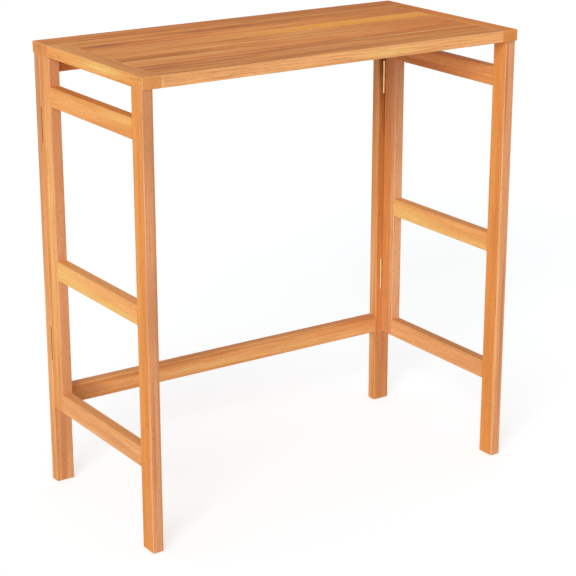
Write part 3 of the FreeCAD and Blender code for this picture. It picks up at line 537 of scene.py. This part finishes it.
def wood_screw(head, shank, neck, thread_end, length):
    """A countersunk screw with its head's face at the origin and its tip down -Z. Head and shank are radii;
    the head's cone ends at the neck, and the point begins at the thread's end."""
    shape = bmesh.new()
    arm, half_slot, recess_depth, recess_taper = 0.6 * head, 0.16 * head, 0.35 * head, 0.55
    inside = (arm + half_slot) / 2
    outline = []
    for quarter in range(4):
        turn = Matrix.Rotation(quarter * math.pi / 2, 3, "Z")
        for x, y in (
            (arm, -half_slot), (arm, 0), (arm, half_slot),
            (inside, half_slot), (half_slot, half_slot), (half_slot, inside),
        ):
            outline.append(shape.verts.new(turn @ Vector((x, y, 0))))
    recess = shape.faces.new(outline)

    # From the recess outwards: the round rim, the cone under the head, then the thread's crests and roots
    rim, plain_share = 0.04 * head, 0.3
    thread_pitch, thread_root = 0.9 * shank, 0.7 * shank
    rings = [(head, 0), (head, rim), (shank, neck)]
    thread_start = neck + plain_share * (thread_end - neck)
    for turn_number in range(int((thread_end - thread_start) / thread_pitch)):
        crest = thread_start + turn_number * thread_pitch
        rings += [(shank, crest), (thread_root, crest + thread_pitch / 2)]
    loop = list(recess.edges)
    for radius, depth in rings:
        grown = bmesh.ops.extrude_edge_only(shape, edges=loop)["geom"]
        ring = [part for part in grown if isinstance(part, bmesh.types.BMVert)]
        loop = [part for part in grown if isinstance(part, bmesh.types.BMEdge)
                and all(vert in ring for vert in part.verts)]
        for vert in ring:
            vert.co = (*(vert.co.xy.normalized() * radius), -depth)
    bmesh.ops.pointmerge(shape, verts=ring, merge_co=(0, 0, -length))
    sunk = bmesh.ops.extrude_discrete_faces(shape, faces=[recess])["faces"][0]
    bmesh.ops.translate(shape, verts=sunk.verts, vec=(0, 0, -recess_depth))
    bmesh.ops.scale(shape, verts=sunk.verts, vec=(recess_taper, recess_taper, 1))
    bmesh.ops.recalc_face_normals(shape, faces=shape.faces)
    return shape


def screw_set(name, node_name, body, metal):
    """Puts a modelled screw in the place of each one in a CAD screw group."""
    # No two neighbours were driven to the same turn
    turn_step = 0.7
    group = bmesh.new()
    for number, points in enumerate(separate_screws(node_name)):
        place, direction, sizes = measure_screw(points)
        one = wood_screw(*sizes)
        turned = Matrix.Rotation(turn_step * number, 4, "Z")
        aimed = Vector((0, 0, -1)).rotation_difference(direction).to_matrix().to_4x4()
        bmesh.ops.transform(one, verts=one.verts, matrix=Matrix.Translation(place) @ aimed @ turned)
        single = bpy.data.meshes.new("one_screw")
        one.to_mesh(single)
        one.free()
        group.from_mesh(single)
        bpy.data.meshes.remove(single)
    mesh = bpy.data.meshes.new(name)
    group.to_mesh(mesh)
    group.free()
    mesh.materials.append(metal)
    screws = bpy.data.objects.new(name, mesh)
    bpy.context.collection.objects.link(screws)
    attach(screws, body)
    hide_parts(node_name)


SCREW_BRIGHT = "#D2AC66"
SCREW_DULL = "#9A7238"
turned_brass = satin_brass("turned", SCREW_BRIGHT, SCREW_DULL)
for node_name, body in (
    ("frame_hinge_screws", "back_frame"), ("strip_hinge_screws", "back_frame"),
    ("left_gate_hinge_screws", "left_gate"), ("right_gate_hinge_screws", "right_gate"),
    ("flap_hinge_screws", "flap"),
):
    screw_set(f"cross_head_{node_name}", node_name, body, turned_brass)


# Fixing screws: countersunk wood screws of zinc-plated steel that hold the strip and the slats from below.
# They are like the hinge screws, only longer. The strip's are sunk deep in the back top rail, and the slats'
# sit flush in the battens.
ZINC_GREY = "#A9A8A2"
ZINC_PALE = "#CFCDC4"


def zinc_plated_steel():
    """Steel wire, headed and zinc plated: a cool grey shine with the cloudy spangle of the plating."""
    material, tree = new_material("zinc_plated_steel")
    # A spangle is less than 2 mm wide
    spangles_per_metre, spangle_height = 600, 0.0001
    bright, cloudy = 0.25, 0.45
    place = add_node(tree, "ShaderNodeTexCoord", {}).outputs["Object"]
    spangle = add_node(tree, "ShaderNodeTexNoise", {
        "Vector": place, "Scale": spangles_per_metre, "Detail": 2}).outputs["Fac"]
    colour = add_node(tree, "ShaderNodeMix", {
        "Factor": spangle, "A": linear(ZINC_GREY), "B": linear(ZINC_PALE),
    }, data_type="RGBA").outputs["Result"]
    roughness = add_node(tree, "ShaderNodeMapRange", {
        "Value": spangle, "From Min": NOISE_LOW, "From Max": NOISE_HIGH, "To Min": bright, "To Max": cloudy,
    }).outputs[0]
    bumps = add_node(tree, "ShaderNodeBump", {"Height": spangle, "Strength": 0.2, "Distance": spangle_height})
    surface = add_node(tree, "ShaderNodeBsdfPrincipled", {
        "Base Color": colour, "Metallic": 1.0, "Roughness": roughness, "Normal": bumps.outputs["Normal"]})
    add_node(tree, "ShaderNodeOutputMaterial", {"Surface": surface.outputs["BSDF"]})
    return material


steel = zinc_plated_steel()
screw_set("cross_head_strip_screws", "strip_screws", "back_frame", steel)
screw_set("cross_head_batten_screws", "batten_screws", "flap", steel)


# Paper floor: a sheet of matt white paper that runs out of sight, laid flat under the legs.
# It lies a millimetre below them, so that their sawn ends are not in its plane.
FLOOR_HALF_SIZE = 30
FLOOR_DEPTH = 0.001
WHITE = "#FFFFFF"
PAPER_GREY = "#E0E0E0"
# Faintly blue, which evens out the warm light that the wood throws on the paper
PAPER_SEEN = "#CACDCF"
PAPER_GLOW = 0.577


def eye_rays(tree):
    """1 for the rays by which the eye sees a thing: straight, in a reflection or through glass."""
    rays = add_node(tree, "ShaderNodeLightPath", {}).outputs
    seen = add_node(tree, "ShaderNodeMath", {0: rays["Is Camera Ray"], 1: rays["Is Glossy Ray"]},
                    operation="MAXIMUM").outputs[0]
    return add_node(tree, "ShaderNodeMath", {0: seen, 1: rays["Is Transmission Ray"]},
                    operation="MAXIMUM").outputs[0]


def white_paper():
    """Matt white paper: to the eye almost white all over, with a pale grey where the table shades it."""
    material, tree = new_material("white_paper")
    plain = add_node(tree, "ShaderNodeBsdfDiffuse", {"Color": linear(PAPER_GREY)}).outputs["BSDF"]
    shaded = add_node(tree, "ShaderNodeBsdfDiffuse", {"Color": linear(PAPER_SEEN)}).outputs["BSDF"]
    glow = add_node(tree, "ShaderNodeEmission", {"Color": linear(WHITE), "Strength": PAPER_GLOW})
    lit = add_node(tree, "ShaderNodeAddShader", {0: shaded, 1: glow.outputs["Emission"]}).outputs["Shader"]
    either = add_node(tree, "ShaderNodeMixShader", {0: eye_rays(tree), 1: plain, 2: lit}).outputs["Shader"]
    # Seen from below, the paper is clear, so that the underside of the table shows
    clear = add_node(tree, "ShaderNodeBsdfTransparent", {}).outputs["BSDF"]
    below = add_node(tree, "ShaderNodeNewGeometry", {}).outputs["Backfacing"]
    one_way = add_node(tree, "ShaderNodeMixShader", {0: below, 1: either, 2: clear}).outputs["Shader"]
    add_node(tree, "ShaderNodeOutputMaterial", {"Surface": one_way})
    return material


sheet = bmesh.new()
bmesh.ops.create_grid(sheet, x_segments=1, y_segments=1, size=FLOOR_HALF_SIZE,
                      matrix=Matrix.Translation((0, 0, -FLOOR_DEPTH)))
floor_mesh = bpy.data.meshes.new("paper_floor")
sheet.to_mesh(floor_mesh)
sheet.free()
floor_mesh.materials.append(white_paper())
floor = bpy.data.objects.new("paper_floor", floor_mesh)
bpy.context.collection.objects.link(floor)


# White room: even white walls all round, far off, as in a studio with white paper on every side.
# They look white, but light the table only about half as much, so that its colours show as they are.
WALLS_SEEN = 1.0
WALLS_LIGHT = 0.52
room = bpy.data.worlds.new("white_room")
room.use_nodes = True
room.node_tree.nodes.clear()
brightness = add_node(room.node_tree, "ShaderNodeMapRange", {
    "Value": eye_rays(room.node_tree), "To Min": WALLS_LIGHT, "To Max": WALLS_SEEN}).outputs[0]
walls = add_node(room.node_tree, "ShaderNodeBackground", {"Color": linear(WHITE), "Strength": brightness})
add_node(room.node_tree, "ShaderNodeOutputWorld", {"Surface": walls.outputs["Background"]})
bpy.context.scene.world = room


# Left window: one large soft light from the front left, which leaves a faint shadow to the right.
# It is far away, so that near and far legs and the whole floor get the same light.
WINDOW_STRENGTH = 2.2
WINDOW_WIDTH = math.radians(35)
TOWARDS_WINDOW = Vector((-0.70, -0.62, 0.33)).normalized()
window_data = bpy.data.lights.new("left_window", "SUN")
window_data.energy = WINDOW_STRENGTH
window_data.angle = WINDOW_WIDTH
window = bpy.data.objects.new("left_window", window_data)
bpy.context.collection.objects.link(window)
window.rotation_euler = TOWARDS_WINDOW.to_track_quat("Z", "Y").to_euler()


# Camera: a long lens in front of the table's left end, looking down a little, with no shift.
# Its place and turn were fitted to the corners of the table in the photograph.
LENS_MM = 112.04
SENSOR_MM = 36
CAMERA_PLACE = (-2.0286, -3.0504, 1.6296)
LOOK_DOWN = math.radians(18.324)
LOOK_RIGHT = math.radians(33.915)
camera_data = bpy.data.cameras.new("camera")
camera_data.sensor_width = SENSOR_MM
camera_data.lens = LENS_MM
camera = bpy.data.objects.new("camera", camera_data)
bpy.context.collection.objects.link(camera)
camera.location = CAMERA_PLACE
camera.rotation_euler = (math.pi / 2 - LOOK_DOWN, 0, -LOOK_RIGHT)
bpy.context.scene.camera = camera
bpy.context.scene.view_settings.view_transform = "Standard"
